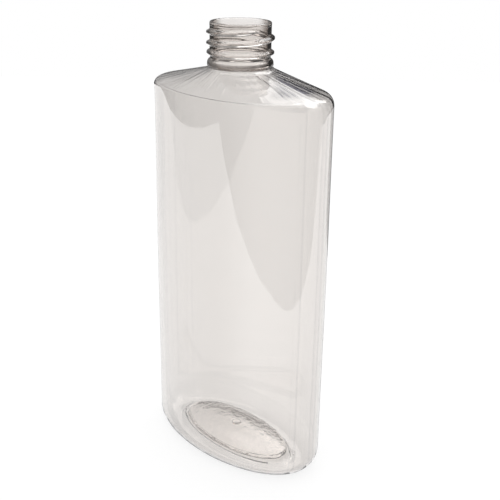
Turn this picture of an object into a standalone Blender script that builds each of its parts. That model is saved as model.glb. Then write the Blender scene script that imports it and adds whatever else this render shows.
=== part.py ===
"""An empty oval PET bottle with a 28 mm screw neck, standing on its base.

The bottle is one moulding. It is modelled in the four sections that a bottle drawing names: the
neck finish, which is injection moulded, and the blown shoulder, body wall and base cup. Each
section ends in a flat ring, which faces the same ring of the next section across a fine seam.

Metres, +Z up. The origin is on the ground under the neck's axis, X runs along the long axis of
the oval and Y across it.
"""

import math

import bmesh
import bpy

MM = 0.001
AROUND = 64  # facets round every section, so that the rings of two sections match
SEAM = 0.3 * MM  # clearance between the rings of two sections
WALL = 0.4 * MM

# Body wall: an upright oval tube that swells a little at mid height.
BODY_WIDTH = 91.0 * MM
BODY_DEPTH = 52.8 * MM
BODY_SWELL = 0.2 * MM  # how far the wall stands proud at mid height
BODY_LAND = 1.5 * MM  # the plain stretch at either end
BODY_STEPS = 6

# Shoulder: an upright skirt, a rounded edge, a straight slope and a flare into the neck.
SHOULDER_EDGE = 164.4 * MM  # height where the wall and the slope would meet if left sharp
SHOULDER_RISE = 8.35 * MM  # from there to the top of the flare
SIDE_EDGE_RADIUS = 5.4 * MM  # the edge's rounding at the two narrow sides
FRONT_EDGE_RADIUS = 0.9 * MM  # its rounding at the middle of the broad faces
EDGE_SHARPENING = 3.0  # how fast the rounding falls from the sides to the faces
SKIRT_LAND = 2.5 * MM  # plain wall under the largest rounding
FLARE_RADIUS = 2.7 * MM
FLARE_END = math.radians(62)  # how steep the flare is where it meets the neck
ROOT_LAND = 0.3 * MM  # upright ring over the flare
ROOT_WALL = 0.6 * MM  # the wall's thickness there
EDGE_STEPS = 5
SLOPE_STEPS = 4
FLARE_STEPS = 3

# Base cup: a round heel, a flat standing ring and a pushed-up floor with the stub of its gate.
BASE_LAND = 3.5 * MM  # plain wall over the heel
HEEL_RADIUS = 8.5 * MM
RING_WIDTH = 1.8 * MM  # the flat that the bottle stands on
STEP_RADIUS = 1.6 * MM
STEP_ANGLE = math.radians(40)
STEP_FLAT = 1.0 * MM  # the straight part of the step's flank
FLOOR_CROWN = 4.6 * MM  # how far the floor rises on from the step to its middle
RING_WALL = 0.55 * MM
FLOOR_WALL = 1.4 * MM
GATE_DIAMETER = 3.4 * MM
GATE_HEIGHT = 0.7 * MM
HEEL_STEPS = 6
STEP_STEPS = 3
FLOOR_STEPS = 4
GATE_FACETS = 20

# Neck finish, from the lip down: threaded wall, stop bead, groove and transfer collar.
BORE_DIAMETER = 21.7 * MM
BORE_FLARE_HEIGHT = 2.4 * MM  # the bore widens below this height over the neck's foot
FINISH_WALL = 1.5 * MM  # from the bore to the plain wall between the threads
LIP_PROUD = 0.2 * MM
LIP_HEIGHT = 1.0 * MM
LIP_BLEND = 0.5 * MM  # height in which the lip runs out into the wall
LIP_CHAMFER = 0.35 * MM
THREAD_ZONE = 10.75 * MM  # from the top of the lip to the top of the bead
BEAD_PROUD = 1.2 * MM
BEAD_HEIGHT = 2.5 * MM
BEAD_CREST_SHARE = 0.4
GROOVE_HEIGHT = 1.3 * MM
GROOVE_SINK = 0.2 * MM
COLLAR_PROUD = 1.0 * MM
COLLAR_HEIGHT = 2.6 * MM
COLLAR_ROUND_SHARE = 0.6
COLLAR_FOOT = 0.1 * MM  # the chamfer down to the shoulder's ring
COLLAR_STEPS = 4
BORE_FLARE_STEPS = 3

# Thread: a single right-hand start that runs in and out of the wall at its ends.
THREAD_PROUD = 1.35 * MM
INCH = 25.4 * MM
THREADS_PER_INCH = 6
THREAD_TURNS = 1.68
THREAD_START_ANGLE = math.radians(110)  # where its lower end comes out of the wall
THREAD_START_RISE = 1.0 * MM  # height of that end's middle over the bead
THREAD_RUNOUT = math.radians(42)
THREAD_ROOT_WIDTH = 2.6 * MM
THREAD_CREST_SHARE = 0.38
THREAD_END_WIDTH_SHARE = 0.35
THREAD_SINK = 0.15 * MM  # how far its two ends lie under the surface of the wall
THREAD_EMBED = 0.5 * MM  # how far its root reaches into the wall
THREAD_STEPS_PER_TURN = 48

MERGE = 0.01 * MM
SMOOTH_ANGLE = math.radians(35)
PET_COLOUR = (0.86, 0.85, 0.84, 1.0)
PET_ROUGHNESS = 0.04
PET_INDEX = 1.575
PET_TRANSMISSION = 0.92

# What follows from the sizes above.
BASE_TOP = HEEL_RADIUS + BASE_LAND
BODY_BOTTOM = BASE_TOP + SEAM
SHOULDER_BOTTOM = SHOULDER_EDGE - SIDE_EDGE_RADIUS - SKIRT_LAND
BODY_TOP = SHOULDER_BOTTOM - SEAM
NECK_BOTTOM = SHOULDER_EDGE + SHOULDER_RISE + ROOT_LAND + SEAM
LIP = NECK_BOTTOM + COLLAR_HEIGHT + GROOVE_HEIGHT + BEAD_HEIGHT + THREAD_ZONE
BORE = BORE_DIAMETER / 2
PLAIN = BORE + FINISH_WALL
COLLAR = PLAIN + COLLAR_PROUD
ROOT = COLLAR - COLLAR_FOOT


class Outline:
    """A profile drawn by a pen that goes straight or bends, in a plane of (inwards, up)."""

    def __init__(self, inwards, up, heading):
        self.points = [(inwards, up)]
        self.heading = heading

    def straight(self, length, steps=1):
        """Draws a straight line in equal steps."""
        x, z = self.points[-1]
        for step in range(1, steps + 1):
            travel = length * step / steps
            self.points.append((x + travel * math.cos(self.heading),
                                z + travel * math.sin(self.heading)))

    def bend(self, radius, turn, steps):
        """Draws an arc, to the left where the turn is positive."""
        x, z = self.points[-1]
        side = math.copysign(radius, turn)
        middle_x = x - side * math.sin(self.heading)
        middle_z = z + side * math.cos(self.heading)
        for step in range(1, steps + 1):
            heading = self.heading + turn * step / steps
            self.points.append((middle_x + side * math.sin(heading),
                                middle_z - side * math.cos(heading)))
        self.heading += turn


def remove_everything():
    """Empties the scene."""
    for obj in list(bpy.data.objects):
        bpy.data.objects.remove(obj, do_unlink=True)


def new_collection(name):
    """A collection in the scene."""
    collection = bpy.data.collections.new(name)
    bpy.context.scene.collection.children.link(collection)
    return collection


def pet_material(name):
    """Clear, faintly grey PET."""
    material = bpy.data.materials.new(name)
    material.use_nodes = True
    shader = material.node_tree.nodes["Principled BSDF"]
    shader.inputs["Base Color"].default_value = PET_COLOUR
    shader.inputs["Roughness"].default_value = PET_ROUGHNESS
    shader.inputs["Metallic"].default_value = 0.0
    shader.inputs["IOR"].default_value = PET_INDEX
    shader.inputs["Transmission Weight"].default_value = PET_TRANSMISSION
    return material


def new_object(shape, name, collection, has_material=True):
    """An object made from a bmesh, which it frees, with clear PET of its own."""
    mesh = bpy.data.meshes.new(name)
    shape.to_mesh(mesh)
    shape.free()
    mesh.shade_smooth()
    mesh.set_sharp_from_angle(angle=SMOOTH_ANGLE)
    if has_material:
        mesh.materials.append(pet_material(name + "_pet"))
    obj = bpy.data.objects.new(name, mesh)
    collection.objects.link(obj)
    return obj


def join(obj, helper):
    """Makes the helper part of the object, and keeps the helper itself out of renders."""
    helper.hide_render = True
    helper.display_type = "WIRE"
    boolean = obj.modifiers.new(helper.name, "BOOLEAN")
    boolean.operation = "UNION"
    boolean.solver = "EXACT"
    boolean.object = helper


def angles():
    """The angle of each facet's corner."""
    return [math.tau * i / AROUND for i in range(AROUND)]


def oval(inset, height, share=1.0):
    """A ring of the body's ellipse, moved inwards by inset and then scaled by share."""
    half_width = (BODY_WIDTH / 2 - inset) * share
    half_depth = (BODY_DEPTH / 2 - inset) * share
    return [(half_width * math.cos(a), half_depth * math.sin(a), height) for a in angles()]


def skin(rings, ends_closed=False, pole=None):
    """A bmesh skinned over rings of equal count, whose points run clockwise for someone who looks
    along the path from ring to ring. A pole is a point that closes the first ring."""
    shape = bmesh.new()
    loops = [[shape.verts.new(point) for point in ring] for ring in rings]
    count = len(loops[0])
    for first, second in zip(loops, loops[1:]):
        for i in range(count):
            j = (i + 1) % count
            shape.faces.new((first[i], first[j], second[j], second[i]))
    if ends_closed:
        shape.faces.new(reversed(loops[0]))
        shape.faces.new(loops[-1])
    if pole:
        middle = shape.verts.new(pole)
        for i in range(count):
            shape.faces.new((middle, loops[0][(i + 1) % count], loops[0][i]))
    return shape


def give_wall(obj, ring_walls, pole_wall=None):
    """Solidifies an open skin inwards. ring_walls holds the wall's thickness at each ring."""
    walls = [wall for wall in ring_walls for _ in range(AROUND)]
    if pole_wall:
        walls.append(pole_wall)
    group = obj.vertex_groups.new(name="wall")
    for index, wall in enumerate(walls):
        group.add([index], wall / max(walls), "REPLACE")
    solidify = obj.modifiers.new("wall", "SOLIDIFY")
    solidify.thickness = max(walls)
    solidify.offset = -1
    solidify.use_even_offset = True
    solidify.vertex_group = group.name


def body_wall(collection):
    """The upright wall, an oval tube."""
    rings = [oval(0, BODY_BOTTOM)]
    length = BODY_TOP - BODY_BOTTOM - 2 * BODY_LAND
    for step in range(BODY_STEPS + 1):
        share = step / BODY_STEPS
        swell = BODY_SWELL * math.sin(math.pi * share) ** 2
        rings.append(oval(-swell, BODY_BOTTOM + BODY_LAND + length * share))
    rings.append(oval(0, BODY_TOP))
    obj = new_object(skin(rings), "body_wall", collection)
    give_wall(obj, [WALL] * len(rings))


def shoulder_outline(run, edge_radius):
    """The shoulder's section where the neck's ring lies run inwards of the wall. The slope is the
    line from the sharp edge that touches the circle of the flare."""
    flare_x = run - FLARE_RADIUS * math.sin(FLARE_END)
    flare_z = SHOULDER_RISE + FLARE_RADIUS * math.cos(FLARE_END)
    to_flare = math.hypot(flare_x, flare_z)
    slope = math.atan2(flare_z, flare_x) - math.asin(FLARE_RADIUS / to_flare)
    turn = math.pi / 2 - slope
    cut_back = edge_radius * math.tan(turn / 2)
    touch = math.sqrt(to_flare**2 - FLARE_RADIUS**2)
    outline = Outline(0, SHOULDER_BOTTOM, math.pi / 2)
    outline.straight(SHOULDER_EDGE - cut_back - SHOULDER_BOTTOM)
    outline.bend(edge_radius, -turn, EDGE_STEPS)
    outline.straight(touch - cut_back, SLOPE_STEPS)
    outline.bend(FLARE_RADIUS, FLARE_END - slope, FLARE_STEPS)
    outline.heading = math.pi / 2
    outline.straight(ROOT_LAND)
    return outline.points


def shoulder(collection):
    """The sloping shoulder, lofted from the oval wall to the round neck."""
    columns = []
    for angle in angles():
        wall_x = BODY_WIDTH / 2 * math.cos(angle)
        wall_y = BODY_DEPTH / 2 * math.sin(angle)
        neck_x = ROOT * math.cos(angle)
        neck_y = ROOT * math.sin(angle)
        run = math.hypot(wall_x - neck_x, wall_y - neck_y)
        rounding = abs(math.cos(angle)) ** EDGE_SHARPENING
        edge_radius = FRONT_EDGE_RADIUS + (SIDE_EDGE_RADIUS - FRONT_EDGE_RADIUS) * rounding
        columns.append([
            (wall_x + (neck_x - wall_x) * inwards / run,
             wall_y + (neck_y - wall_y) * inwards / run, up)
            for inwards, up in shoulder_outline(run, edge_radius)
        ])
    rings = list(zip(*columns))
    obj = new_object(skin(rings), "shoulder", collection)
    rounded = 1 + EDGE_STEPS
    thickening = len(rings) - 2 - rounded
    shares = [min(1, max(0, ring - rounded) / thickening) for ring in range(len(rings))]
    give_wall(obj, [WALL + (ROOT_WALL - WALL) * share**2 for share in shares])


def base_outline():
    """The base's section from the wall down round the heel, and up the step to the floor."""
    outline = Outline(0, BASE_TOP, -math.pi / 2)
    outline.straight(BASE_LAND)
    outline.bend(HEEL_RADIUS, math.pi / 2, HEEL_STEPS)
    outline.straight(RING_WIDTH)
    outline.bend(STEP_RADIUS, STEP_ANGLE, STEP_STEPS)
    outline.straight(STEP_FLAT)
    outline.bend(STEP_RADIUS, -STEP_ANGLE, STEP_STEPS)
    return outline.points


def base_cup(collection, helpers):
    """The heel, the standing ring and the pushed-up floor with the stub of the gate."""
    outline = base_outline()
    rings = [oval(inset, height) for inset, height in outline]
    walls = [WALL] * 2
    walls += [WALL + (RING_WALL - WALL) * step / HEEL_STEPS for step in range(1, HEEL_STEPS + 1)]
    walls += [RING_WALL] * (len(rings) - len(walls))
    floor_inset, floor_edge = outline[-1]
    for step in range(1, FLOOR_STEPS):
        share = step / FLOOR_STEPS
        rings.append(oval(floor_inset, floor_edge + FLOOR_CROWN * (1 - (1 - share) ** 2), 1 - share))
        walls.append(RING_WALL + (FLOOR_WALL - RING_WALL) * share)
    rings.reverse()
    walls.reverse()
    floor_middle = floor_edge + FLOOR_CROWN
    obj = new_object(skin(rings, pole=(0, 0, floor_middle)), "base_cup", collection)
    give_wall(obj, walls, pole_wall=FLOOR_WALL)
    stub = bmesh.new()
    reach = GATE_HEIGHT + FLOOR_WALL / 2
    bmesh.ops.create_cone(stub, cap_ends=True, segments=GATE_FACETS, radius1=GATE_DIAMETER / 2,
                          radius2=GATE_DIAMETER / 2, depth=reach)
    gate = new_object(stub, "gate_stub", helpers, has_material=False)
    gate.location.z = floor_middle - GATE_HEIGHT + reach / 2
    join(obj, gate)


def finish_outline():
    """The finish's section as (radius, height), down its outer side and up the bore."""
    lip = PLAIN + LIP_PROUD
    bead = PLAIN + BEAD_PROUD
    groove = PLAIN - GROOVE_SINK
    bead_top = LIP - THREAD_ZONE
    bead_flank = BEAD_HEIGHT * (1 - BEAD_CREST_SHARE) / 2
    collar_top = NECK_BOTTOM + COLLAR_HEIGHT
    points = [
        (lip - LIP_CHAMFER, LIP),
        (lip, LIP - LIP_CHAMFER),
        (lip, LIP - LIP_HEIGHT),
        (PLAIN, LIP - LIP_HEIGHT - LIP_BLEND),
        (PLAIN, bead_top),
        (bead, bead_top - bead_flank),
        (bead, bead_top - BEAD_HEIGHT + bead_flank),
        (groove, bead_top - BEAD_HEIGHT),
    ]
    for step in range(COLLAR_STEPS + 1):
        angle = math.pi / 2 * step / COLLAR_STEPS
        drop = COLLAR_HEIGHT * COLLAR_ROUND_SHARE * (1 - math.cos(angle))
        points.append((groove + (COLLAR - groove) * math.sin(angle), collar_top - drop))
    points += [(COLLAR, NECK_BOTTOM + COLLAR_FOOT), (ROOT, NECK_BOTTOM)]
    widening = ROOT - ROOT_WALL - BORE
    for step in range(BORE_FLARE_STEPS + 1):
        share = step / BORE_FLARE_STEPS
        points.append((BORE + widening * (1 - share) ** 2, NECK_BOTTOM + BORE_FLARE_HEIGHT * share))
    points += [(BORE, LIP - LIP_CHAMFER), (BORE + LIP_CHAMFER, LIP)]
    return points


def thread_section(fullness):
    """The thread's section as (radius, height over its middle), clockwise. It shrinks with its
    fullness, which is 1 along the thread and falls to 0 at its ends."""
    end = PLAIN - THREAD_SINK
    crest = end + (PLAIN + THREAD_PROUD - end) * fullness
    width_share = THREAD_END_WIDTH_SHARE + (1 - THREAD_END_WIDTH_SHARE) * fullness
    half_root = THREAD_ROOT_WIDTH / 2 * width_share
    half_crest = half_root * THREAD_CREST_SHARE
    root = PLAIN - THREAD_EMBED
    return [(root, -half_root), (root, half_root), (end, half_root), (crest, half_crest),
            (crest, -half_crest), (end, -half_root)]


def thread(helpers):
    """The screw thread as a solid that climbs anticlockwise, seen from above."""
    pitch = INCH / THREADS_PER_INCH
    length = math.tau * THREAD_TURNS
    steps = round(THREAD_STEPS_PER_TURN * THREAD_TURNS)
    bottom = LIP - THREAD_ZONE + THREAD_START_RISE
    rings = []
    for step in range(steps + 1):
        travel = length * step / steps
        angle = THREAD_START_ANGLE + travel
        run_in = min(1.0, min(travel, length - travel) / THREAD_RUNOUT)
        middle = bottom + pitch * travel / math.tau
        rings.append([
            (radius * math.cos(angle), radius * math.sin(angle), middle + height)
            for radius, height in thread_section(math.sin(run_in * math.pi / 2))
        ])
    return new_object(skin(rings, ends_closed=True), "thread", helpers, has_material=False)


def neck_finish(collection, helpers):
    """The threaded neck: lip, thread, stop bead and transfer collar round the bore, which widens
    at its foot into the thin wall of the shoulder."""
    section = bmesh.new()
    corners = [section.verts.new((radius, 0, height)) for radius, height in finish_outline()]
    for corner, following in zip(corners, corners[1:] + corners[:1]):
        section.edges.new((corner, following))
    obj = new_object(section, "neck_finish", collection)
    screw = obj.modifiers.new("turn", "SCREW")
    screw.axis = "Z"
    screw.angle = math.tau
    screw.steps = screw.render_steps = AROUND
    screw.use_merge_vertices = True
    screw.merge_threshold = MERGE
    screw.use_smooth_shade = True
    join(obj, thread(helpers))


def main():
    """Builds the bottle."""
    remove_everything()
    bottle = new_collection("oval_bottle")
    helpers = new_collection("helpers")
    neck_finish(bottle, helpers)
    shoulder(bottle)
    body_wall(bottle)
    base_cup(bottle, helpers)


main()
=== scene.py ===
"""The looks of an empty, clear, oval bottle with an open screw neck, in a plain white studio.

The bottle is one moulding, so it is one closed surface here, from the middle of the base up the
outside, over the lip and down the inside to the middle of the base again. Each of its sections
gives its stretches of a grid of points with the shape (rows, columns, 3), worked out as whole
arrays: a row goes once round the bottle, and the rows follow each other along the way above.

Metres, +Z up. X runs along the long axis of the oval and Y across it.
"""

import logging
from dataclasses import dataclass, field
from enum import Enum

import bpy
import numpy as np
from mathutils import Matrix, Vector


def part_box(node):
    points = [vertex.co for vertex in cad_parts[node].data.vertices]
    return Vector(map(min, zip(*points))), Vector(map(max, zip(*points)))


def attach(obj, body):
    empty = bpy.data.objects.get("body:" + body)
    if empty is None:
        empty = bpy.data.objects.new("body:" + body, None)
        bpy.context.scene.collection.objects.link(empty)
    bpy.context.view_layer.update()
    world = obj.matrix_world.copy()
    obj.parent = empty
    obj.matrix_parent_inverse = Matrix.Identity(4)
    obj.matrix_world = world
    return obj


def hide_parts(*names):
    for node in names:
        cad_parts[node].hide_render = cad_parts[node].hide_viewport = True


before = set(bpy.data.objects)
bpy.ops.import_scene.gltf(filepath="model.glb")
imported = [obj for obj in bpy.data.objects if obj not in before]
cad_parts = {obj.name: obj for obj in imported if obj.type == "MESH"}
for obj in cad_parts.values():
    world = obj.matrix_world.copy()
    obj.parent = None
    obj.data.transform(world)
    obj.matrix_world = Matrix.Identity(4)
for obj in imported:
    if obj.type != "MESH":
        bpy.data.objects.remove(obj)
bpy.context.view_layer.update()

LOG = logging.getLogger("oval_bottle")
MM = 0.001
INCH = 25.4 * MM
COLUMNS = 196
ANGLES = np.linspace(0.0, 2 * np.pi, COLUMNS, endpoint=False)
COSINES = np.cos(ANGLES)
SINES = np.sin(ANGLES)
WALL_ATTRIBUTE = "wall"  # the mesh carries the wall's thickness in it, for the material

Socket = bpy.types.NodeSocket
Array = np.ndarray
Object = bpy.types.Object
Tree = bpy.types.NodeTree
Numbers = float | Array
Span = tuple[float, float]
Place = tuple[float, float, float]
Colour = tuple[float, float, float, float]
Input = float | tuple[float, ...] | Socket
Setting = bool | str | Tree

NOISE: Span = (0.3, 0.7)  # a noise keeps mostly between these
RISING: Span = (0.0, 1.0)
FALLING: Span = (1.0, 0.0)
ROOM_DARK = 0.05  # the glow of the room between its bright patches


class Ease(Enum):
    """How a remapped value runs between its two ends."""

    EVEN = "LINEAR"
    SMOOTH = "SMOOTHSTEP"


# Curves and grids


def smooth(share: Array) -> Array:
    """An S-curve from 0 to 1: three times the square less twice the cube of the clipped share."""
    clipped = np.clip(share, 0.0, 1.0)
    return clipped * clipped * (3.0 - 2.0 * clipped)


def steps(start: float, end: float, count: int) -> Array:
    """Count equal steps from start to end, without the start itself."""
    return np.linspace(start, end, count + 1)[1:]


def quarter(count: int) -> tuple[Array, Array]:
    """Sine, and one less cosine, of equal steps over a quarter turn."""
    turn = steps(0.0, np.pi / 2, count)
    return np.sin(turn), 1.0 - np.cos(turn)


@dataclass(frozen=True)
class Waves:
    """Several sine waves over a position, each with its own length and start."""

    lengths: tuple[float, ...]
    starts: tuple[float, ...]

    def at(self, position: Array) -> Array:
        """The mean of the waves, each the sine of its start and a whole turn for every length."""
        phases = [2 * np.pi * position / length + start
                  for length, start in zip(self.lengths, self.starts)]
        return np.mean(np.sin(phases), axis=0)


class Pen:
    """Draws one profile for many columns at once, in a plane of (inwards, up).

    A heading is an angle: 0 points inwards and a quarter turn points up.
    """

    def __init__(self, up: float, heading: float, columns: int) -> None:
        """Puts the pen down on the wall.

        Args:
            up: the height at which it starts.
            heading: the way in which it starts.
            columns: for how many columns it draws.
        """
        self.heading = np.full(columns, heading)
        self.stretches = [np.stack([np.zeros(columns), np.full(columns, up)])[None]]

    def straight(self, length: Numbers, rows: int) -> None:
        """Draws a straight line: the last point plus the heading's direction times the travel.

        Args:
            length: the line's length in each column.
            rows: how many points it gets.
        """
        travel = steps(0.0, 1.0, rows)[:, None, None] * length
        way = np.stack([np.cos(self.heading), np.sin(self.heading)])
        self.stretches.append(self.stretches[-1][-1] + travel * way)

    def bend(self, radius: Numbers, turn: Numbers, rows: int) -> None:
        """Draws an arc, to the left where the turn is positive. Its middle lies one radius to
        that side, and each point one radius back from it, square to the heading there.

        Args:
            radius: the arc's radius in each column.
            turn: the angle that it turns by.
            rows: how many points it gets.
        """
        side = np.sign(turn) * radius
        leftwards = np.stack([-np.sin(self.heading), np.cos(self.heading)])
        middle = self.stretches[-1][-1] + side * leftwards
        headings = self.heading + steps(0.0, 1.0, rows)[:, None] * turn
        self.stretches.append(middle + side * np.stack([np.sin(headings), -np.cos(headings)], axis=1))
        self.heading = headings[-1]

    def rows(self) -> Array:
        """All points so far, as (rows, 2, columns)."""
        return np.concatenate(self.stretches)


def put_in_scene(name: str, data: bpy.types.ID) -> Object:
    """Makes an object of its data and puts it into the scene.

    Args:
        name: the object's name.
        data: its mesh, light or camera.

    Returns:
        The object.
    """
    made = bpy.data.objects.new(name, data)
    bpy.context.scene.collection.objects.link(made)
    return made


def surface_normals(grid: Array) -> Array:
    """The unit normals: the way round the row crossed with the way on to the next row.

    Args:
        grid: (rows, columns, 3) points.

    Returns:
        A normal for each point.
    """
    around = np.roll(grid, -1, axis=1) - np.roll(grid, 1, axis=1)
    onwards = np.gradient(grid, axis=0)
    across = np.cross(around, onwards)
    return across / np.linalg.norm(across, axis=2, keepdims=True)


def ellipses(wide: Numbers, deep: Numbers, heights: Numbers) -> Array:
    """A grid of level rows: cosine and sine of each column's angle times the two half axes.

    Args:
        wide: the half axes along X, as one number, (rows,) or (rows, COLUMNS).
        deep: those along Y.
        heights: one height, or (rows,).

    Returns:
        The grid of points.
    """
    values = (np.asarray(value, dtype=float) for value in (wide, deep, heights))
    wide, deep, high = np.broadcast_arrays(*(
        value if value.ndim == 2 else value.reshape(-1, 1) for value in values))
    return np.stack([wide * COSINES, deep * SINES, high * np.ones(COLUMNS)], axis=2)


def turned(radii: Numbers, heights: Numbers) -> Array:
    """A grid of round rows."""
    return ellipses(radii, radii, heights)


# The bottle's sections


@dataclass(frozen=True)
class Plan:
    """The oval plan that the wall, the heel and the shoulder share."""

    half_width: float = 45.5 * MM
    half_depth: float = 26.4 * MM

    def ovals(self, insets: Array, heights: Array) -> Array:
        """A grid of ovals, each the ellipse of the wall with both half axes less the inset."""
        return ellipses(self.half_width - insets, self.half_depth - insets, heights)


@dataclass
class BaseCup:
    """The heel, the standing ring, the step and the pushed-up floor with the stub of its gate."""

    plan: Plan
    top: float
    land: float = 3.5 * MM
    heel_radius: float = 8.5 * MM
    ring_width: float = 1.8 * MM
    step_radius: float = 1.4 * MM
    step_angle: float = np.radians(40)
    step_flat: float = 0.4 * MM
    floor_crown: float = 5.1 * MM
    floor_middle: float = 0.4 * MM
    thin_wall: float = 0.4 * MM
    ring_wall: float = 0.55 * MM
    floor_wall: float = 2.4 * MM
    disc_edge: float = 0.15
    disc_waves: float = 0.006
    disc_wave: Waves = Waves((0.53, 0.31, 0.19, 1.3), (0.5, 1.1, 2.0, 0.2))
    gate_radius: float = 1.7 * MM
    gate_height: float = 0.7 * MM
    gate_fillet: float = 0.25 * MM
    gate_tip: Span = (1.0 * MM, 0.5 * MM)
    gate_point: float = 0.05 * MM
    land_rows: int = 3
    heel_rows: int = 20
    ring_rows: int = 4
    step_rows: int = 8
    flank_rows: int = 3
    floor_rows: int = 30
    gate_rows: int = 4

    def profile(self) -> Array:
        """The section from the wall round the heel and up the step.

        Returns:
            (rows, 2) distances inwards and heights.
        """
        pen = Pen(self.top, -np.pi / 2, 1)
        pen.straight(self.land, self.land_rows)
        pen.bend(self.heel_radius, np.pi / 2, self.heel_rows)
        pen.straight(self.ring_width, self.ring_rows)
        pen.bend(self.step_radius, self.step_angle, self.step_rows)
        pen.straight(self.step_flat, self.flank_rows)
        pen.bend(self.step_radius, -self.step_angle, self.step_rows)
        return pen.rows()[:, :, 0]

    def floor(self, profile: Array, middle_radius: float) -> Array:
        """The floor from the step in to a small circle.

        The half axes of its rows shrink evenly. A point lies over the step by the crown times
        one less the square of its elliptical distance.

        Args:
            profile: the section as profile() gives it.
            middle_radius: radius of the innermost row.

        Returns:
            The grid, from the step inwards.
        """
        inset, edge = profile[-1]
        wide, deep = self.plan.half_width - inset, self.plan.half_depth - inset
        share = steps(0.0, 1.0, self.floor_rows)[:, None]
        across = (wide + (middle_radius - wide) * share) * COSINES
        along = (deep + (middle_radius - deep) * share) * SINES
        distance = (across / wide) ** 2 + (along / deep) ** 2
        return np.stack([across, along, edge + self.floor_crown * (1.0 - distance)], axis=2)

    def outside(self) -> Array:
        """The outer skin: the section's ovals, the floor, and the gate's stub with quarter rounds.

        Returns:
            The grid, from the stub out to the top of the base.
        """
        profile = self.profile()
        root = self.gate_radius + self.gate_fillet
        floor = self.floor(profile, root)
        roof = floor[-1, :, 2].mean()
        sine, rest = quarter(self.gate_rows)
        fillet = turned(root - self.gate_fillet * sine, roof - self.gate_fillet * rest)
        foot = roof - self.gate_height
        corner = turned(self.gate_radius - self.gate_fillet * rest,
                        foot + self.gate_fillet * (1.0 - sine))
        tip = turned(np.array(self.gate_tip), np.array([foot, foot - self.gate_point]))
        side = self.plan.ovals(profile[:, 0], profile[:, 1])
        return np.concatenate([side, floor, fillet, corner, tip])[::-1]

    def inside(self) -> tuple[Array, Array]:
        """The skin that the inner face is laid under, with its wall.

        The wall grows down the heel, and again on an S-curve from the step to the edge of the
        thick disc, whose way from the step a few waves lengthen and shorten.

        Returns:
            The outer skin without the stub, from the floor's middle out, and the wall's thickness
            at each of its points.
        """
        profile = self.profile()
        floor = self.floor(profile, self.floor_middle)
        skin = np.concatenate([self.plan.ovals(profile[:, 0], profile[:, 1]), floor])
        down_heel = smooth(np.arange(len(profile)) / (self.land_rows + self.heel_rows))
        side = self.thin_wall + (self.ring_wall - self.thin_wall) * down_heel
        edge = self.disc_edge + self.disc_waves * self.disc_wave.at(ANGLES)
        share = steps(0.0, 1.0, len(floor))[:, None] / edge
        inner = self.ring_wall + (self.floor_wall - self.ring_wall) * smooth(share)
        return skin[::-1], np.concatenate([side[:, None].repeat(COLUMNS, axis=1), inner])[::-1]


@dataclass
class BodyWall:
    """The upright oval wall, which swells a little at mid height."""

    plan: Plan
    bottom: float
    top: float
    land: float = 1.8 * MM
    swell: float = 0.2 * MM
    ripple: float = 0.03 * MM
    round_wave: Waves = Waves((np.pi / 1.5, np.pi / 3.5, np.pi / 2.0), (0.4, 2.1, 1.0))
    upward_wave: Waves = Waves((61 * MM, 37 * MM), (0.3, 1.9))
    rows: int = 40

    def outside(self) -> Array:
        """The outer skin between the base and the shoulder, both ends left to them.

        The swell is a squared sine between the lands. A ripple, the product of waves round the
        wall and along it, sinks the skin a little, but never at the oval's tips.

        Returns:
            The grid, from the bottom up.
        """
        heights = np.linspace(self.bottom, self.top, self.rows + 2)[1:-1]
        swelling = self.top - self.bottom - 2 * self.land
        share = np.clip((heights - self.bottom - self.land) / swelling, 0.0, 1.0)
        swell = self.swell * np.sin(np.pi * share) ** 2
        ripple = self.round_wave.at(ANGLES)[None] * self.upward_wave.at(heights)[:, None]
        sink = self.ripple * (1.0 + ripple) / 2 * np.sin(np.pi * share)[:, None]
        sink[:, [0, COLUMNS // 2]] = 0.0
        return self.plan.ovals(sink - swell[:, None], heights)


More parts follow.
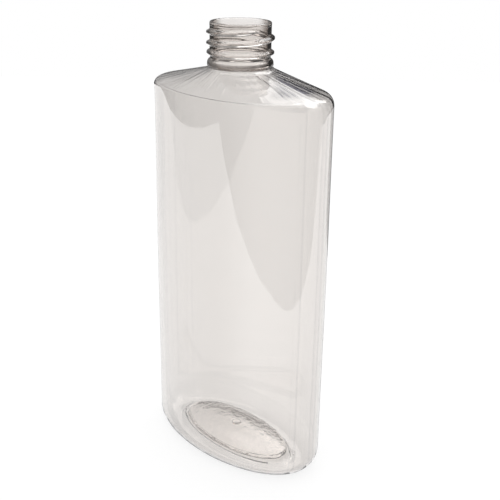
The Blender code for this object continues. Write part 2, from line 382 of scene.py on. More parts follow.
@dataclass
class Shoulder:
    """The sloping shoulder, lofted from the oval wall to the round neck."""

    plan: Plan
    bottom: float
    root: float
    edge: float = 164.4 * MM
    rise: float = 8.35 * MM
    side_edge_radius: float = 5.4 * MM
    front_edge_radius: float = 0.45 * MM
    edge_sharpening: float = 3.0
    flare_radius: float = 2.7 * MM
    flare_end: float = np.radians(62)
    root_land: float = 0.3 * MM
    thin_wall: float = 0.4 * MM
    root_wall: float = 0.6 * MM
    thickening: float = 2.0
    skirt_rows: int = 4
    edge_rows: int = 16
    slope_rows: int = 16
    flare_rows: int = 10

    def outside(self) -> Array:
        """The outer skin from the wall to the neck.

        Each column runs straight in plan from its point of the wall's oval to its point of the
        neck's circle. Its section goes up the skirt, round the edge, along the slope and up the
        flare. The slope is the line from the sharp edge that touches the circle of the flare.

        Returns:
            The grid, from the bottom up.
        """
        wall = np.stack([self.plan.half_width * COSINES, self.plan.half_depth * SINES])
        neck = self.root * np.stack([COSINES, SINES])
        run = np.hypot(*(wall - neck))
        spread = self.side_edge_radius - self.front_edge_radius
        edge_radius = self.front_edge_radius + spread * np.abs(COSINES) ** self.edge_sharpening
        flare_in = run - self.flare_radius * np.sin(self.flare_end)
        flare_up = self.rise + self.flare_radius * np.cos(self.flare_end)
        reach = np.hypot(flare_in, flare_up)
        slope = np.arctan2(flare_up, flare_in) - np.arcsin(self.flare_radius / reach)
        turn = np.pi / 2 - slope
        cut_back = edge_radius * np.tan(turn / 2)
        touch = np.sqrt(reach**2 - self.flare_radius**2)
        pen = Pen(self.bottom, np.pi / 2, COLUMNS)
        pen.straight(self.edge - cut_back - self.bottom, self.skirt_rows)
        pen.bend(edge_radius, -turn, self.edge_rows)
        pen.straight(touch - cut_back, self.slope_rows)
        pen.bend(self.flare_radius, self.flare_end - slope, self.flare_rows)
        pen.heading = np.full(COLUMNS, np.pi / 2)
        pen.straight(self.root_land, 1)
        rows = pen.rows()
        plan = wall + (neck - wall) * (rows[:, :1] / run)
        return np.concatenate([plan, rows[:, 1:]], axis=1).transpose(0, 2, 1)

    def walls(self, rows: int) -> Array:
        """The wall of each row: thin to the edge, then up to the neck's by a power of the way."""
        share = np.interp(np.arange(rows), (self.skirt_rows + self.edge_rows, rows - 2), RISING)
        return self.thin_wall + (self.root_wall - self.thin_wall) * share**self.thickening


@dataclass
class NeckFinish:
    """The injection-moulded neck: transfer collar, groove, stop bead, thread and lip."""

    bottom: float
    lip: float
    bore: float = 10.85 * MM
    bore_leaves: float = 3.0 * MM
    plain: float = 12.35 * MM
    collar_proud: float = 1.0 * MM
    collar_foot: float = 0.1 * MM
    collar_height: float = 2.6 * MM
    collar_round: float = 1.56 * MM
    groove_height: float = 1.3 * MM
    groove_sink: float = 0.2 * MM
    bead_height: float = 2.5 * MM
    bead_proud: float = 1.2 * MM
    bead_flank: float = 0.95 * MM
    thread_proud: float = 1.35 * MM
    thread_pitch: float = INCH / 6
    thread_turns: float = 1.68
    thread_start: float = np.radians(110)
    thread_rise: float = 1.0 * MM
    thread_runout: float = np.radians(42)
    thread_width: float = 2.6 * MM
    thread_flank: float = 1.05 * MM
    thread_end_share: float = 0.35
    lip_proud: float = 0.05 * MM
    lip_height: float = 1.2 * MM
    lip_blend: float = 0.5 * MM
    lip_round: float = 0.6 * MM
    foot_rows: int = 3
    collar_rows: int = 4
    collar_round_rows: int = 12
    groove_rows: int = 5
    bead_rows: int = 18
    thread_rows: int = 70
    lip_blend_rows: int = 4
    lip_side_rows: int = 2
    lip_round_rows: int = 5
    lip_top_rows: int = 3
    bore_rows: int = 10
    bore_foot_rows: int = 12

    @property
    def root(self) -> float:
        """Radius of the ring that meets the shoulder."""
        return self.plain + self.collar_proud - self.collar_foot

    def thread(self, heights: Array, base: float) -> Array:
        """How far the thread stands proud of the plain wall.

        The ridge's middle climbs one pitch a turn, and beside it the ridge falls on an S-curve.
        Its height and width grow with the sine of the way into its run-out at either end.

        Args:
            heights: (rows,) heights.
            base: height of the top of the stop bead.

        Returns:
            (rows, COLUMNS) distances.
        """
        turn = np.arange(int(np.ceil(self.thread_turns)) + 1)[:, None, None]
        travel = (ANGLES - self.thread_start) % (2 * np.pi) + 2 * np.pi * turn
        length = 2 * np.pi * self.thread_turns
        way_in = np.clip(np.minimum(travel, length - travel) / self.thread_runout, 0.0, 1.0)
        fullness = np.sin(way_in * np.pi / 2)
        middle = base + self.thread_rise + self.thread_pitch * travel / (2 * np.pi)
        width = self.thread_width * (self.thread_end_share + (1 - self.thread_end_share) * fullness)
        inside = (width / 2 - np.abs(heights[None, :, None] - middle)) / self.thread_flank
        return (self.thread_proud * fullness * smooth(inside)).max(axis=0)

    def outside(self) -> Array:
        """The outer skin: rings at each part's radius, quarter rounds at the collar and the lip,
        S-curves at the bead's flanks and under the lip, and the thread over the plain wall.

        Returns:
            The grid, from the collar's foot over the lip to the top of the bore.
        """
        collar = self.plain + self.collar_proud
        groove = self.plain - self.groove_sink
        round_from = self.bottom + self.collar_height - self.collar_round
        groove_from = self.bottom + self.collar_height
        bead_from = groove_from + self.groove_height
        bead_to = bead_from + self.bead_height
        lip_from = self.lip - self.lip_height
        blend_from = lip_from - self.lip_blend
        lip_radius = self.plain + self.lip_proud
        foot_sine, foot_rest = quarter(self.foot_rows)
        collar_sine, collar_rest = quarter(self.collar_round_rows)
        lip_sine, lip_rest = self.lip_round * np.array(quarter(self.lip_round_rows))
        collar_side = steps(self.bottom + self.collar_foot, round_from, self.collar_rows)
        groove_side = steps(groove_from, bead_from, self.groove_rows)
        bead = steps(bead_from, bead_to, self.bead_rows)
        bead_foot = np.where(bead < (bead_from + bead_to) / 2, groove, self.plain)
        bead_in = np.minimum(bead - bead_from, bead_to - bead) / self.bead_flank
        bead_rise = (self.plain + self.bead_proud - bead_foot) * smooth(bead_in)
        side = steps(bead_to, blend_from, self.thread_rows)
        blend = steps(blend_from, lip_from, self.lip_blend_rows)
        blend_rise = self.lip_proud * smooth((blend - blend_from) / self.lip_blend)
        lip_side = steps(lip_from, self.lip - self.lip_round, self.lip_side_rows)
        lip_top = steps(
            lip_radius - self.lip_round, self.bore + self.lip_round, self.lip_top_rows)
        return np.concatenate([turned(radii, heights) for radii, heights in (
            (self.root + self.collar_foot * foot_sine, self.bottom + self.collar_foot * foot_rest),
            (collar, collar_side),
            (collar - (collar - groove) * collar_rest, round_from + self.collar_round * collar_sine),
            (groove, groove_side),
            (bead_foot + bead_rise, bead),
            (self.plain + self.thread(side, bead_to), side),
            (self.plain + blend_rise, blend),
            (lip_radius, lip_side),
            (lip_radius - lip_rest, self.lip - self.lip_round + lip_sine),
            (lip_top, self.lip),
            (self.bore + self.lip_round - lip_sine, self.lip - lip_rest))])

    def inside(self, foot_radius: float, foot: float) -> Array:
        """The bore, straight from under the lip, then wider by the square of the way down to
        the shoulder's underside.

        Args:
            foot_radius: the radius that it reaches.
            foot: the height at which it does.

        Returns:
            The grid, without the foot's own row.
        """
        leaves = self.bottom + self.bore_leaves
        heights = np.concatenate([
            steps(self.lip - self.lip_round, leaves, self.bore_rows),
            steps(leaves, foot, self.bore_foot_rows)[:-1]])
        share = np.clip((leaves - heights) / (leaves - foot), 0.0, 1.0)
        return turned(self.bore + (foot_radius - self.bore) * share**2, heights)


# Nodes


class Wiring:
    """Adds nodes to a tree, with their settings and with values or links on their inputs."""

    def __init__(self, tree: Tree) -> None:
        """Takes the tree that the nodes go into."""
        self.tree = tree

    def node(self, kind: str, inputs: dict[str | int, Input] | None = None,
             **settings: Setting) -> bpy.types.Node:
        """Adds one node.

        Args:
            kind: the node's type.
            inputs: a value or a socket for each input, by its name or number.
            **settings: the node's own properties.

        Returns:
            The new node.
        """
        made = self.tree.nodes.new(kind)
        for name, value in settings.items():
            setattr(made, name, value)
        for key, value in (inputs or {}).items():
            if isinstance(value, Socket):
                self.tree.links.new(value, made.inputs[key])
            else:
                made.inputs[key].default_value = value
        return made

    def math(self, operation: str, *terms: Input) -> Socket:
        """One Math node's result."""
        return self.node("ShaderNodeMath", dict(enumerate(terms)), operation=operation).outputs[0]

    def times(self, first: Input, *others: Input) -> Socket:
        """The product of several numbers."""
        for other in others:
            first = self.math("MULTIPLY", first, other)
        return first

    def remap(self, value: Input, span: Span, to: Span = RISING, ease: Ease = Ease.EVEN) -> Socket:
        """A Map Range node's result: the ends of span become those of to, clipped."""
        inputs = dict(enumerate((value, *span, *to)))
        return self.node("ShaderNodeMapRange", inputs, interpolation_type=ease.value).outputs[0]

    def fade(self, value: Input, span: Span, to: Span = RISING) -> Socket:
        """A remap on an S-curve."""
        return self.remap(value, span, to, Ease.SMOOTH)

    def blend(self, factor: Input, first: Input, second: Input) -> Socket:
        """A mix of two numbers: first where the factor is 0, second where it is 1."""
        inputs = {0: factor, 2: first, 3: second}
        return self.node("ShaderNodeMix", inputs, data_type="FLOAT").outputs[0]

    def axes(self, place: Socket) -> bpy.types.NodeOutputs:
        """The outputs X, Y and Z of a place."""
        return self.node("ShaderNodeSeparateXYZ", {0: place}).outputs

    def vector(self, operation: str, *terms: Input) -> bpy.types.NodeOutputs:
        """The outputs of one Vector Math node."""
        return self.node("ShaderNodeVectorMath", dict(enumerate(terms)), operation=operation).outputs

    def path(self, output: str) -> Socket:
        """One output of a Light Path node."""
        return self.node("ShaderNodeLightPath").outputs[output]

    def mirrored(self) -> Socket:
        """1 for light that a gloss has mirrored, 0 for any other."""
        return self.math("GREATER_THAN", self.path("Glossy Depth"), 0.5)

    def glow(self, strength: Input) -> Socket:
        """A white glow of its own."""
        return self.node("ShaderNodeEmission", {"Strength": strength}).outputs[0]

    def mix(self, share: Input, first: Socket, second: Socket) -> Socket:
        """A mix of two shaders: first where the share is 0, second where it is 1."""
        return self.node("ShaderNodeMixShader", {0: share, 1: first, 2: second}).outputs[0]

    def end(self, shader: Socket, kind: str = "ShaderNodeOutputMaterial") -> None:
        """Ends the tree in an output node that shows a shader."""
        self.node(kind, {"Surface": shader})


class SkinWiring(Wiring):
    """The nodes of the bottle's material, which start from the place on the bottle."""

    def __init__(self, tree: Tree) -> None:
        """Adds the nodes that tell where on the bottle a point lies and how it is seen.

        Args:
            tree: the tree that the nodes go into.
        """
        super().__init__(tree)
        self.place = self.node("ShaderNodeTexCoord").outputs["Object"]
        axes = self.axes(self.place)
        self.aside = self.math("ABSOLUTE", axes["X"])
        self.up = axes["Z"]
        self.bearing = self.math("ARCTAN2", axes["Y"], axes["X"])
        self.wall = self.node("ShaderNodeAttribute", attribute_name=WALL_ATTRIBUTE).outputs["Fac"]
        outwards = self.node("ShaderNodeCombineXYZ", {"X": axes["X"], "Y": axes["Y"]}).outputs[0]
        self.facing = self.seen_aside()
        self.tube_facing = self.seen_aside(Normal=self.vector("NORMALIZE", outwards)[0])

    def seen_aside(self, **normal: Socket) -> Socket:
        """From 0 where the surface is seen square on to 1 where it is seen along itself."""
        return self.node("ShaderNodeLayerWeight", {"Blend": 0.5, **normal}).outputs["Facing"]

    def along(self, way: Place) -> Socket:
        """How far the place lies along a way: their dot product."""
        return self.vector("DOT_PRODUCT", self.place, way)["Value"]

    def noise(self, scale: float, detail: float, stretch: Place = (1.0, 1.0, 1.0)) -> Socket:
        """A noise in space, whose place is first stretched along each axis."""
        inputs = {"Vector": self.vector("MULTIPLY", self.place, stretch)[0], "Scale": scale,
                  "Detail": detail}
        return self.node("ShaderNodeTexNoise", inputs).outputs["Fac"]

    def noise_round(self, scale: float, detail: float) -> Socket:
        """A noise over the angle round the bottle, whose stripes run out from its axis."""
        inputs = {"W": self.bearing, "Scale": scale, "Detail": detail}
        return self.node("ShaderNodeTexNoise", inputs, noise_dimensions="1D").outputs["Fac"]


# Finishes


@dataclass(frozen=True)
class Finish:
    """A finish, whose subclasses say what shader it ends in."""

    name: str

    def shader(self, wiring: Wiring) -> Socket:
        """The shader, from the nodes that a subclass adds."""
        raise NotImplementedError

    def material(self) -> bpy.types.Material:
        """Builds the material.

        Returns:
            The material.
        """
        material = bpy.data.materials.new(self.name)
        material.use_nodes = True
        material.node_tree.nodes.clear()
        wiring = Wiring(material.node_tree)
        wiring.end(self.shader(wiring))
        return material


@dataclass(frozen=True)
class WhiteCard(Finish):
    """White card that takes the bottle's shadow."""

    name: str = "white_card"
    white: Colour = (0.9, 0.9, 0.9, 1.0)
    glow: float = 1.1
    shadow_seen: float = 0.25
    shadow_through_glass: float = 0.2

    def shader(self, wiring: Wiring) -> Socket:
        """A matt card under a glow, which leaves the eye part of the shadow, and glass less of it.

        Args:
            wiring: where the nodes go.

        Returns:
            The shader.
        """
        card = wiring.node("ShaderNodeBsdfDiffuse", {"Color": self.white}).outputs[0]
        glossy, through = wiring.path("Is Glossy Ray"), wiring.path("Is Transmission Ray")
        by_glass = wiring.math("MAXIMUM", glossy, through)
        by_glass = wiring.times(by_glass, 1.0 - self.shadow_through_glass)
        by_eye = wiring.times(wiring.path("Is Camera Ray"), 1.0 - self.shadow_seen)
        return wiring.mix(wiring.math("MAXIMUM", by_glass, by_eye), card, wiring.glow(self.glow))


@dataclass(frozen=True)
class FloorBeyond(Finish):
    """White to the camera and straight through the glass, dark in a reflection."""

    name: str = "floor_beyond"
    dark: float = ROOM_DARK

    def shader(self, wiring: Wiring) -> Socket:
        """A glow that is dark to light that was mirrored."""
        return wiring.glow(wiring.blend(wiring.mirrored(), 1.0, self.dark))


@dataclass(frozen=True)
class DarkCard(Finish):
    """A dim glow to light that a wall has mirrored, and nothing to any other."""

    name: str = "dark_card"
    strength: float = 0.5

    def shader(self, wiring: Wiring) -> Socket:
        """Clear glass, or a glow where the light was mirrored."""
        clear = wiring.node("ShaderNodeBsdfTransparent").outputs[0]
        return wiring.mix(wiring.mirrored(), clear, wiring.glow(self.strength))


@dataclass(frozen=True)
class ClearPet(Finish):
    """Clear PET, browner where the wall is thick and drawn out in upright streaks where it is blown.

    Scales are noises a metre, or a radian where they run round the bottle. Two numbers are the
    ends of a fade, or the values at its ends. Every mask of a tint runs from 0 to 1.
    """

    name: str = "clear_pet"
    index: float = 1.575
    fine_detail: float = 2.0
    rough_detail: float = 3.0
    thin_tint: Colour = (0.893, 0.873, 0.856, 1.0)
    thick_tint: Colour = (0.880, 0.830, 0.792, 1.0)
    thick_wall: Span = (0.4 * MM, 2.9 * MM)
    cloud_scale: float = 38.0
    cloud_swing: Span = (-0.06, 0.06)
    # Painted shade: a browner, darker tint over the side to the camera's left, up to the neck.
    left_shade_tint: Colour = (0.850, 0.830, 0.813, 1.0)
    left_shade_way: Place = (-0.684, -0.729, 0.0)
    left_shade_along: Span = (-10.0 * MM, 12.0 * MM)
    left_shade_up: Span = (150.0 * MM, 172.0 * MM)
    left_shade_share: Span = (1.0, 0.2)
    # Partly real and partly painted shade: the thin wall's edges get darker than the longer way
    # through the wall alone would make them.
    edge_shade_tint: Colour = (0.775, 0.757, 0.748, 1.0)
    edge_facing: Span = (0.30, 0.75)
    edge_wall: Span = (0.65 * MM, 1.0 * MM)
    edge_scale: float = 22.0
    edge_swing: Span = (-0.28, 0.28)
    # Painted shade: a near-black tint on the shoulder's far slope to the right, in streaks down from
    # the neck.
    far_shade_tint: Colour = (0.06, 0.06, 0.08, 1.0)
    far_way: Place = (0.684, 0.729, 0.0)
    far_along: Span = (10.0 * MM, 16.0 * MM)
    far_up: Span = (165.5 * MM, 167.0 * MM)
    far_facing: Span = (0.38, 0.54)
    far_streaks: Span = (0.42, 0.55)
    far_share: Span = (0.3, 1.0)
    # Painted shade on the neck's sides, where they are seen edge on.
    neck_shade_tint: Colour = (0.30, 0.26, 0.235, 1.0)
    neck_facing: Span = (0.20, 0.58)
    neck_up: Span = (172.0 * MM, 175.0 * MM)
    relief: float = 0.012 * MM
    streak_scale: float = 260.0
    streak_stretch: Place = (1.0, 1.0, 0.04)
    ends_aside: Span = (31.0 * MM, 43.0 * MM)
    ends_share: Span = (0.1, 1.8)
    peel_scale: float = 900.0
    peel_relief: float = 0.15
    spoke_scale: float = 9.0
    spoke_relief: Span = (0.0, 9.0)
    spokes_from: Span = (164.0 * MM, 167.0 * MM)
    spokes_to: Span = (172.5 * MM, 173.5 * MM)
    mottle_scale: float = 300.0
    mottle_relief: Span = (0.0, 24.0)
    mottle_wall: Span = (2.2 * MM, 2.38 * MM)
    mottle_up: Span = (20.0 * MM, 16.0 * MM)
    smear_scale: float = 70.0
    smear_detail: float = 4.0
    smear: Span = (0.45, 0.8)
    roughness: Span = (0.0, 0.03)

    def near_ends(self, skin: SkinWiring) -> Socket:
        """How strong the upright streaks are: full at the narrow ends, faint in the broad faces."""
        return skin.fade(skin.aside, self.ends_aside, self.ends_share)

    def left_side_shade(self, skin: SkinWiring) -> Socket:
        """The mask of painted shade on the bottle's side to the camera's left, up to the neck."""
        lean = skin.fade(skin.along(self.left_shade_way), self.left_shade_along)
        return skin.times(lean, skin.fade(skin.up, self.left_shade_up, self.left_shade_share))

    def thickness(self, skin: SkinWiring) -> Socket:
        """How thick the wall is, from 0 to 1, made a little uneven by a cloud."""
        cloud = skin.remap(skin.noise(self.cloud_scale, self.rough_detail), NOISE, self.cloud_swing)
        return skin.math("ADD", skin.remap(skin.wall, self.thick_wall), cloud)

    def grazing_shade(self, skin: SkinWiring) -> Socket:
        """Where the thin wall is seen along itself: light goes the longest way through it there, and
        painted shade darkens it further than that longer way would.

        Args:
            skin: where the nodes go.

        Returns:
            The mask, drawn out in upright streaks.
        """
        streaks = skin.noise_round(self.edge_scale, self.fine_detail)
        streaks = skin.remap(streaks, NOISE, self.edge_swing)
        uneven = skin.math("ADD", skin.facing, skin.times(streaks, self.near_ends(skin)))
        edge = skin.remap(uneven, self.edge_facing)
        return skin.times(edge, skin.remap(skin.wall, self.edge_wall, FALLING))

    def far_slope_shade(self, skin: SkinWiring) -> Socket:
        """Painted shade, near black, on the shoulder's far slope to the right, where the slope bends
        the light of the sheet away.

        Args:
            skin: where the nodes go.

        Returns:
            The mask, in streaks that run down from the neck.
        """
        streaks = skin.noise_round(self.spoke_scale, self.rough_detail)
        return skin.times(
            skin.fade(skin.along(self.far_way), self.far_along), skin.fade(skin.up, self.far_up),
            skin.fade(skin.facing, self.far_facing),
            skin.remap(streaks, self.far_streaks, self.far_share))

    def neck_side_shade(self, skin: SkinWiring) -> Socket:
        """The mask of painted shade on the thick neck's sides, by the facing of a plain cylinder round
        its axis.
        """
        edge = skin.fade(skin.tube_facing, self.neck_facing)
        return skin.times(edge, skin.fade(skin.up, self.neck_up))

    def relief_height(self, skin: SkinWiring) -> Socket:
        """The relief of streaks, orange peel, the shoulder's spokes and the thick floor's mottles.

        Args:
            skin: where the nodes go.

        Returns:
            The height, in units of the relief's depth.
        """
        streak = skin.noise(self.streak_scale, self.fine_detail, self.streak_stretch)
        height = skin.times(streak, self.near_ends(skin))
        peel = skin.times(skin.noise(self.peel_scale, self.fine_detail), self.peel_relief)
        spokes = skin.times(
            skin.noise_round(self.spoke_scale, self.fine_detail),
            skin.fade(skin.up, self.spokes_from, self.spoke_relief),
            skin.fade(skin.up, self.spokes_to, FALLING))
        mottles = skin.times(
            skin.noise(self.mottle_scale, self.rough_detail),
            skin.fade(skin.wall, self.mottle_wall, self.mottle_relief),
            skin.fade(skin.up, self.mottle_up))
        for more in (peel, spokes, mottles):
            height = skin.math("ADD", height, more)
        return height

    def shader(self, wiring: Wiring) -> Socket:
        """Clear plastic, each mask's tint laid over those before it; all but the thickness's tint are
        painted shade, the edges' only in part.

        Args:
            wiring: where the nodes go.

        Returns:
            The shader.
        """
        skin = SkinWiring(wiring.tree)
        tint: Input = self.thin_tint
        for mask, colour in (
                (self.left_side_shade, self.left_shade_tint), (self.thickness, self.thick_tint),
                (self.grazing_shade, self.edge_shade_tint), (self.far_slope_shade, self.far_shade_tint),
                (self.neck_side_shade, self.neck_shade_tint)):
            blended = skin.node("ShaderNodeMix", {0: mask(skin), 6: tint, 7: colour}, data_type="RGBA")
            tint = blended.outputs[2]
        smear = skin.noise(self.smear_scale, self.smear_detail)
        bump = skin.node("ShaderNodeBump", {
            "Height": self.relief_height(skin), "Strength": 1.0, "Distance": self.relief})
        shader = skin.node("ShaderNodeBsdfPrincipled", {
            "Base Color": tint, "Roughness": skin.remap(smear, self.smear, self.roughness),
            "Normal": bump.outputs[0], "IOR": self.index, "Metallic": 0.0, "Transmission Weight": 1.0})
        return shader.outputs[0]


# The bottle


@dataclass
class Bottle:
    """The whole moulding as one closed skin."""

    name: str = "bottle"
    plan: Plan = field(default_factory=Plan)
    finish: ClearPet = field(default_factory=ClearPet)
    streaks: float = 0.15
    streak_wave: Waves = Waves((0.37, 0.23, 0.61, 0.142), (0.0, 1.3, 2.2, 0.7))
    streaks_in_faces: float = 0.3
    streak_gathering: int = 3
    neck: NeckFinish = field(init=False)
    base: BaseCup = field(init=False)
    body: BodyWall = field(init=False)
    shoulder: Shoulder = field(init=False)

    def __post_init__(self) -> None:
        """Takes the heights at which the sections meet from the frame."""
        base_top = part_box("base_cup")[1][2]
        shoulder_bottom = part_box("shoulder")[0][2]
        neck_low, neck_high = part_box("neck_finish")
        self.neck = NeckFinish(bottom=neck_low[2], lip=neck_high[2])
        self.base = BaseCup(self.plan, top=base_top)
        self.body = BodyWall(self.plan, bottom=base_top, top=shoulder_bottom)
        self.shoulder = Shoulder(self.plan, bottom=shoulder_bottom, root=self.neck.root)

    def streaked(self, walls: Array) -> Array:
        """Draws the blown wall out in upright streaks.

        A few waves round the bottle raise and lower the thickness, most at the narrow ends.
        They fade on an S-curve as the wall grows to twice the thin one.

        Args:
            walls: (rows, COLUMNS) thicknesses.

        Returns:
            The streaked thicknesses.
        """
        gathered = np.abs(COSINES) ** self.streak_gathering
        around = self.streak_wave.at(ANGLES) * (
            self.streaks_in_faces + (1.0 - self.streaks_in_faces) * gathered)
        thin = self.shoulder.thin_wall
        return walls * (1.0 + self.streaks * smooth((2 * thin - walls) / thin) * around)

    def skin(self) -> tuple[Array, Array]:
        """Joins the sections' outer skins, and lays the inner face under them: their points moved
        along their normals by the wall's thickness.

        Returns:
            The whole grid, and the wall's thickness at each of its points.
        """
        base, body = self.base.outside(), self.body.outside()
        shoulder, neck = self.shoulder.outside(), self.neck.outside()
        under_base, base_walls = self.base.inside()
        under = np.concatenate([under_base, body, shoulder[:-1]])
        upper_walls = np.concatenate([
            np.full(len(body), self.shoulder.thin_wall), self.shoulder.walls(len(shoulder))])
        upper_walls = upper_walls[:, None].repeat(COLUMNS, axis=1)
        walls = np.concatenate([base_walls, upper_walls[:-1]])
        inner = (under - surface_normals(under) * self.streaked(walls)[:, :, None])[::-1]
        top = inner[0]
        bore = self.neck.inside(np.hypot(top[:, 0], top[:, 1]).mean(), top[:, 2].mean())
        outer = np.concatenate([base, body, shoulder, neck])
        neck_wall = np.hypot(neck[:, :, 0], neck[:, :, 1]) - self.neck.bore
        plain_wall = self.neck.plain - self.neck.bore
        stub = np.full((len(base) - len(under_base), COLUMNS), self.base.floor_wall)
        bore_wall = np.full((len(bore), COLUMNS), plain_wall)
        wall = np.concatenate([stub, base_walls, upper_walls, neck_wall, bore_wall, walls[::-1]])
        return np.concatenate([outer, bore, inner]), wall

    def mesh(self) -> bpy.types.Mesh:
        """Puts the skin into a mesh: quads between the rows, and a fan of triangles at either pole.

        Returns:
            The closed mesh, with the wall's thickness at its points.
        """
        grid, wall = self.skin()
        rows, columns = grid.shape[:2]
        first, last = grid[0].mean(axis=0), grid[-1].mean(axis=0)
        points = np.concatenate([first[None], grid.reshape(-1, 3), last[None]])
        here = 1 + np.arange(rows * columns).reshape(rows, columns)
        beside = np.roll(here, -1, axis=1)
        quads = np.stack([here[:-1], beside[:-1], beside[1:], here[1:]], axis=2).reshape(-1, 4)
        start_fan = np.stack([np.zeros(columns, int), beside[0], here[0]], axis=1)
        end_fan = np.stack([here[-1], beside[-1], np.full(columns, len(points) - 1)], axis=1)
        mesh = bpy.data.meshes.new(self.name)
        mesh.from_pydata(points, [], quads.tolist() + start_fan.tolist() + end_fan.tolist())
        mesh.shade_smooth()
        walls = np.concatenate([wall[0, :1], wall.ravel(), wall[-1, :1]])
        attribute = mesh.attributes.new(WALL_ATTRIBUTE, "FLOAT", "POINT")
        attribute.data.foreach_set("value", walls.astype(np.float32))
        return mesh

    def build(self) -> Object:
        """Makes the bottle's object and dresses it.

        Returns:
            The object.
        """
        bottle = put_in_scene(self.name, self.mesh())
        self.dress(bottle)
        return bottle

    def dress(self, bottle: Object) -> None:
        """Gives the bottle its finish and its place in the frame.

        Args:
            bottle: its object.
        """
        bottle.data.materials.append(self.finish.material())
        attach(bottle, "root")
        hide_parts("neck_finish", "shoulder", "body_wall", "base_cup")


# The studio


@dataclass(frozen=True)
class Viewpoint:
    """The photograph's camera: where it stands, and the pixel at which it sees the bottle's aim."""

    azimuth: float = np.radians(46.824)
    elevation: float = np.radians(21.035)
    distance: float = 389.197 * MM
    aim: Place = (0.0, 0.0, 95.0 * MM)
    aim_pixel: Span = (238.423, 246.39)
    roll: float = np.radians(0.596)
    focal_pixels: float = 896.555
    frame_pixels: float = 500.0
    sensor_mm: float = 36.0
    near_clip: float = 10.0 * MM

    @property
    def towards(self) -> Array:
        """The way in plan from the bottle to the camera."""
        return np.array([np.sin(self.azimuth), -np.cos(self.azimuth)])

    @property
    def rightwards(self) -> Array:
        """The way in plan that the camera sees as to the right."""
        return np.array([np.cos(self.azimuth), np.sin(self.azimuth)])

    def camera(self) -> Object:
        """Makes the camera, which looks at the aim, then rolls, tips and turns until the aim
        falls on its pixel.

        Returns:
            The camera's object.
        """
        back = np.array([*(self.towards * np.cos(self.elevation)), np.sin(self.elevation)])
        place = np.array(self.aim) + self.distance * back
        right = np.cross(-back, [0.0, 0.0, 1.0])
        right /= np.linalg.norm(right)
        looking = np.array([right, np.cross(-back, right), -back])
        across, down = (pixel - self.frame_pixels / 2 for pixel in self.aim_pixel)
        yaw = np.arctan2(across, self.focal_pixels)
        pitch = np.arctan2(down, np.hypot(self.focal_pixels, across))
        rolled = np.array(Matrix.Rotation(self.roll, 3, "Z"))
        pitched = np.array(Matrix.Rotation(-pitch, 3, "X"))
        yawed = np.array(Matrix.Rotation(yaw, 3, "Y"))
        looking = yawed @ pitched @ rolled @ looking
        world = np.eye(4)
        world[:3, :3] = np.stack([looking[0], -looking[1], -looking[2]], axis=1)
        world[:3, 3] = place
        data = bpy.data.cameras.new("camera")
        data.sensor_width = self.sensor_mm
        data.lens = self.focal_pixels * self.sensor_mm / self.frame_pixels
        data.clip_start = self.near_clip
        camera = put_in_scene("camera", data)
        camera.matrix_world = Matrix(world.tolist())
        bpy.context.scene.camera = camera
        return camera


@dataclass(frozen=True)
class Patch:
    """A light or dark patch of the room, as the bottle's gloss sees it.

    Angles are in degrees: the bearing from the camera's heading, to the right, and the height.
    """

    bearing: float
    elevation: float
    half_width: float
    half_height: float
    softness: float
    strength: float

    def mask(self, wiring: Wiring, group: Tree, bearing: Socket,
             elevation: Socket) -> Socket:
        """1 inside the patch and 0 outside it, by the group that patch_group() made."""
        inputs = (bearing, elevation, self.bearing, self.elevation, self.half_width, self.half_height,
                  self.softness)
        return wiring.node("ShaderNodeGroup", dict(enumerate(inputs)), node_tree=group).outputs["Mask"]


def patch_group() -> Tree:
    """A group that masks one patch by how far inside its half width and half height a point lies.

    Returns:
        The group.
    """
    group = bpy.data.node_groups.new("patch_mask", "ShaderNodeTree")
    names = ("Bearing", "Elevation", "Middle Bearing", "Middle Elevation", "Half Width",
             "Half Height", "Softness")
    for name in names:
        group.interface.new_socket(name, in_out="INPUT", socket_type="NodeSocketFloat")
    group.interface.new_socket("Mask", in_out="OUTPUT", socket_type="NodeSocketFloat")
    wiring = Wiring(group)
    given = wiring.node("NodeGroupInput").outputs
    bearing, elevation, middle, height, half_width, half_height, softness = (
        given[name] for name in names)
    aside = wiring.math("WRAP", wiring.math("SUBTRACT", bearing, middle), 180.0, -180.0)
    above = wiring.math("SUBTRACT", elevation, height)
    masks = []
    for offset, half in ((aside, half_width), (above, half_height)):
        inwards = wiring.math("SUBTRACT", half, wiring.math("ABSOLUTE", offset))
        masks.append(wiring.fade(wiring.math("DIVIDE", inwards, softness), (-0.5, 0.5)))
    wiring.node("NodeGroupOutput", {"Mask": wiring.times(*masks)})
    return group


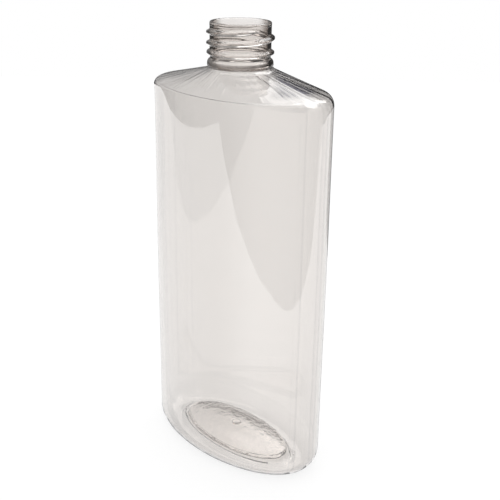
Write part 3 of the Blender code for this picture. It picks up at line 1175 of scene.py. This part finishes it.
@dataclass
class Studio:
    """The white sheet that the bottle stands on, the dark room round it, the light and the camera.

    The sheet's outline is in (towards the camera, to the right) and the card's in (to the right,
    up), in millimetres. The patches are painted in order, each over those before it.
    """

    view: Viewpoint = field(default_factory=Viewpoint)
    sheet_outline: tuple[Span, ...] = (
        (230, -650), (230, -40), (207, 71), (189, 148), (168, 227), (141, 307), (126, 386),
        (90, 520), (20, 700), (-900, 700), (-900, -650))
    floor_reach: float = 6.0
    floor_drop: float = 1.0 * MM
    white: Colour = (1.0, 1.0, 1.0, 1.0)
    dome: float = 0.9
    opening: Span = (1.0, 3.0)
    patches: tuple[Patch, ...] = (
        Patch(-100.0, 20.0, 95.0, 45.0, 20.0, 0.32),
        Patch(60.0, 60.0, 60.0, 28.0, 12.0, 0.6),
        Patch(66.0, 62.0, 30.0, 18.0, 8.0, 4.0),
        Patch(4.0, 41.0, 9.5, 12.0, 2.0, 1.7),
        Patch(0.0, 80.0, 180.0, 14.0, 8.0, 0.9),
        Patch(26.0, 47.0, 14.0, 18.0, 5.0, 3.0),
        Patch(-10.0, 66.0, 45.0, 9.0, 4.0, 3.0),
    )
    behind: Patch = Patch(20.0, 4.0, 17.3, 15.2, 0.8, 0.04)
    card_outline: tuple[Span, ...] = ((75, 0), (300, 0), (300, 120), (75, 120))
    card_depth: float = 220.0
    lamp_side: float = 1.0
    lamp_power: float = 4.0
    lamp_place: Place = (-0.3, 0.3, 1.6)
    lamp_way: Place = (0.3, -0.3, -1.5)
    bounces: int = 24
    mirror_bounces: int = 12

    def sheet(self) -> Object:
        """The sheet, cut to the outline whose edge the bottle's walls mirror."""
        towards, right = np.array(self.sheet_outline, dtype=float).T
        return self.flat_piece("white_sheet", self.placed(towards, right, 0.0), WhiteCard())

    def floor(self) -> Object:
        """The dark floor beyond the sheet."""
        square = self.floor_reach * np.array([(-1, -1, 0), (1, -1, 0), (1, 1, 0), (-1, 1, 0)])
        return self.flat_piece("dark_floor", square - (0, 0, self.floor_drop), FloorBeyond())

    def card(self) -> Object:
        """A card behind the bottle to its right, which only light that it has mirrored meets.

        Returns:
            The card's object.
        """
        right, up = np.array(self.card_outline, dtype=float).T
        card = self.flat_piece("dark_card", self.placed(-self.card_depth, right, up), DarkCard())
        card.visible_camera = False
        card.visible_diffuse = False
        card.visible_shadow = False
        return card

    def placed(self, towards: Numbers, right: Numbers, up: Numbers) -> Array:
        """Points by where they lie from the bottle, in millimetres.

        Args:
            towards: how far towards the camera.
            right: how far to the camera's right.
            up: how high.

        Returns:
            The points, in metres.
        """
        towards, right, up = np.broadcast_arrays(towards, right, up)
        plan = np.outer(towards, self.view.towards) + np.outer(right, self.view.rightwards)
        return MM * np.column_stack([plan, up])

    def flat_piece(self, name: str, points: Array, finish: Finish) -> Object:
        """One flat polygon of the studio.

        Args:
            name: its name.
            points: its corners in order.
            finish: its finish.

        Returns:
            The object.
        """
        mesh = bpy.data.meshes.new(name)
        mesh.from_pydata(points.tolist(), [], [list(range(len(points)))])
        mesh.materials.append(finish.material())
        piece = put_in_scene(name, mesh)
        return piece

    def world(self) -> None:
        """The room: white to the camera and straight through the glass, soft light to what is matt,
        and dark with bright windows to gloss."""
        world = bpy.data.worlds.new("studio_room")
        bpy.context.scene.world = world
        world.use_nodes = True
        world.cycles.sampling_method = "NONE"
        world.node_tree.nodes.clear()
        wiring = Wiring(world.node_tree)
        axes = wiring.axes(wiring.node("ShaderNodeTexCoord").outputs["Generated"])
        azimuth = wiring.math("ARCTAN2", axes["X"], wiring.times(axes["Y"], -1.0))
        azimuth = wiring.math("DEGREES", azimuth)
        bearing = wiring.math("SUBTRACT", np.degrees(self.view.azimuth) - 180.0, azimuth)
        elevation = wiring.math("DEGREES", wiring.math("ARCSINE", axes["Z"]))
        group = patch_group()
        room: Input = ROOM_DARK
        for patch in self.patches:
            room = wiring.blend(patch.mask(wiring, group, bearing, elevation), room, patch.strength)
        mirrored = wiring.mirrored()
        dark = wiring.math("MAXIMUM", wiring.fade(elevation, self.opening), mirrored)
        strength = wiring.blend(dark, 1.0, room)
        straight = wiring.math("SUBTRACT", 1.0, mirrored)
        behind = wiring.times(self.behind.mask(wiring, group, bearing, elevation), straight)
        strength = wiring.blend(behind, strength, self.behind.strength)
        matt = wiring.math("GREATER_THAN", wiring.path("Diffuse Depth"), 0.5)
        strength = wiring.blend(matt, strength, self.dome)
        strength = wiring.blend(wiring.path("Is Camera Ray"), strength, 1.0)
        light = wiring.node("ShaderNodeBackground", {"Color": self.white, "Strength": strength})
        wiring.end(light.outputs[0], "ShaderNodeOutputWorld")

    def lamp(self) -> Object:
        """One large soft lamp high over the bottle, which gloss and glass don't see.

        Returns:
            The lamp's object.
        """
        data = bpy.data.lights.new("softbox", "AREA")
        data.size = self.lamp_side
        data.energy = self.lamp_power
        lamp = put_in_scene("softbox", data)
        lamp.location = self.lamp_place
        lamp.rotation_euler = Vector(self.lamp_way).to_track_quat("-Z", "Y").to_euler()
        lamp.visible_glossy = False
        lamp.visible_transmission = False
        return lamp

    def build(self) -> list[Object]:
        """Makes all of it.

        Returns:
            The studio's objects.
        """
        pieces = [self.sheet(), self.floor(), self.card()]
        self.world()
        pieces += [self.lamp(), self.view.camera()]
        scene = bpy.context.scene
        scene.view_settings.view_transform = "Standard"
        scene.cycles.max_bounces = self.bounces
        scene.cycles.transmission_bounces = self.bounces
        scene.cycles.glossy_bounces = self.mirror_bounces
        return pieces


def main() -> None:
    """Builds the bottle and its studio, and reports each piece."""
    logging.basicConfig(level=logging.INFO, format="%(name)s: %(message)s")
    bottle = Bottle().build()
    LOG.info("%s: %d faces on the body root", bottle.name, len(bottle.data.polygons))
    for made in Studio().build():
        LOG.info("%s: studio", made.name)


if __name__ == "__main__":
    main()
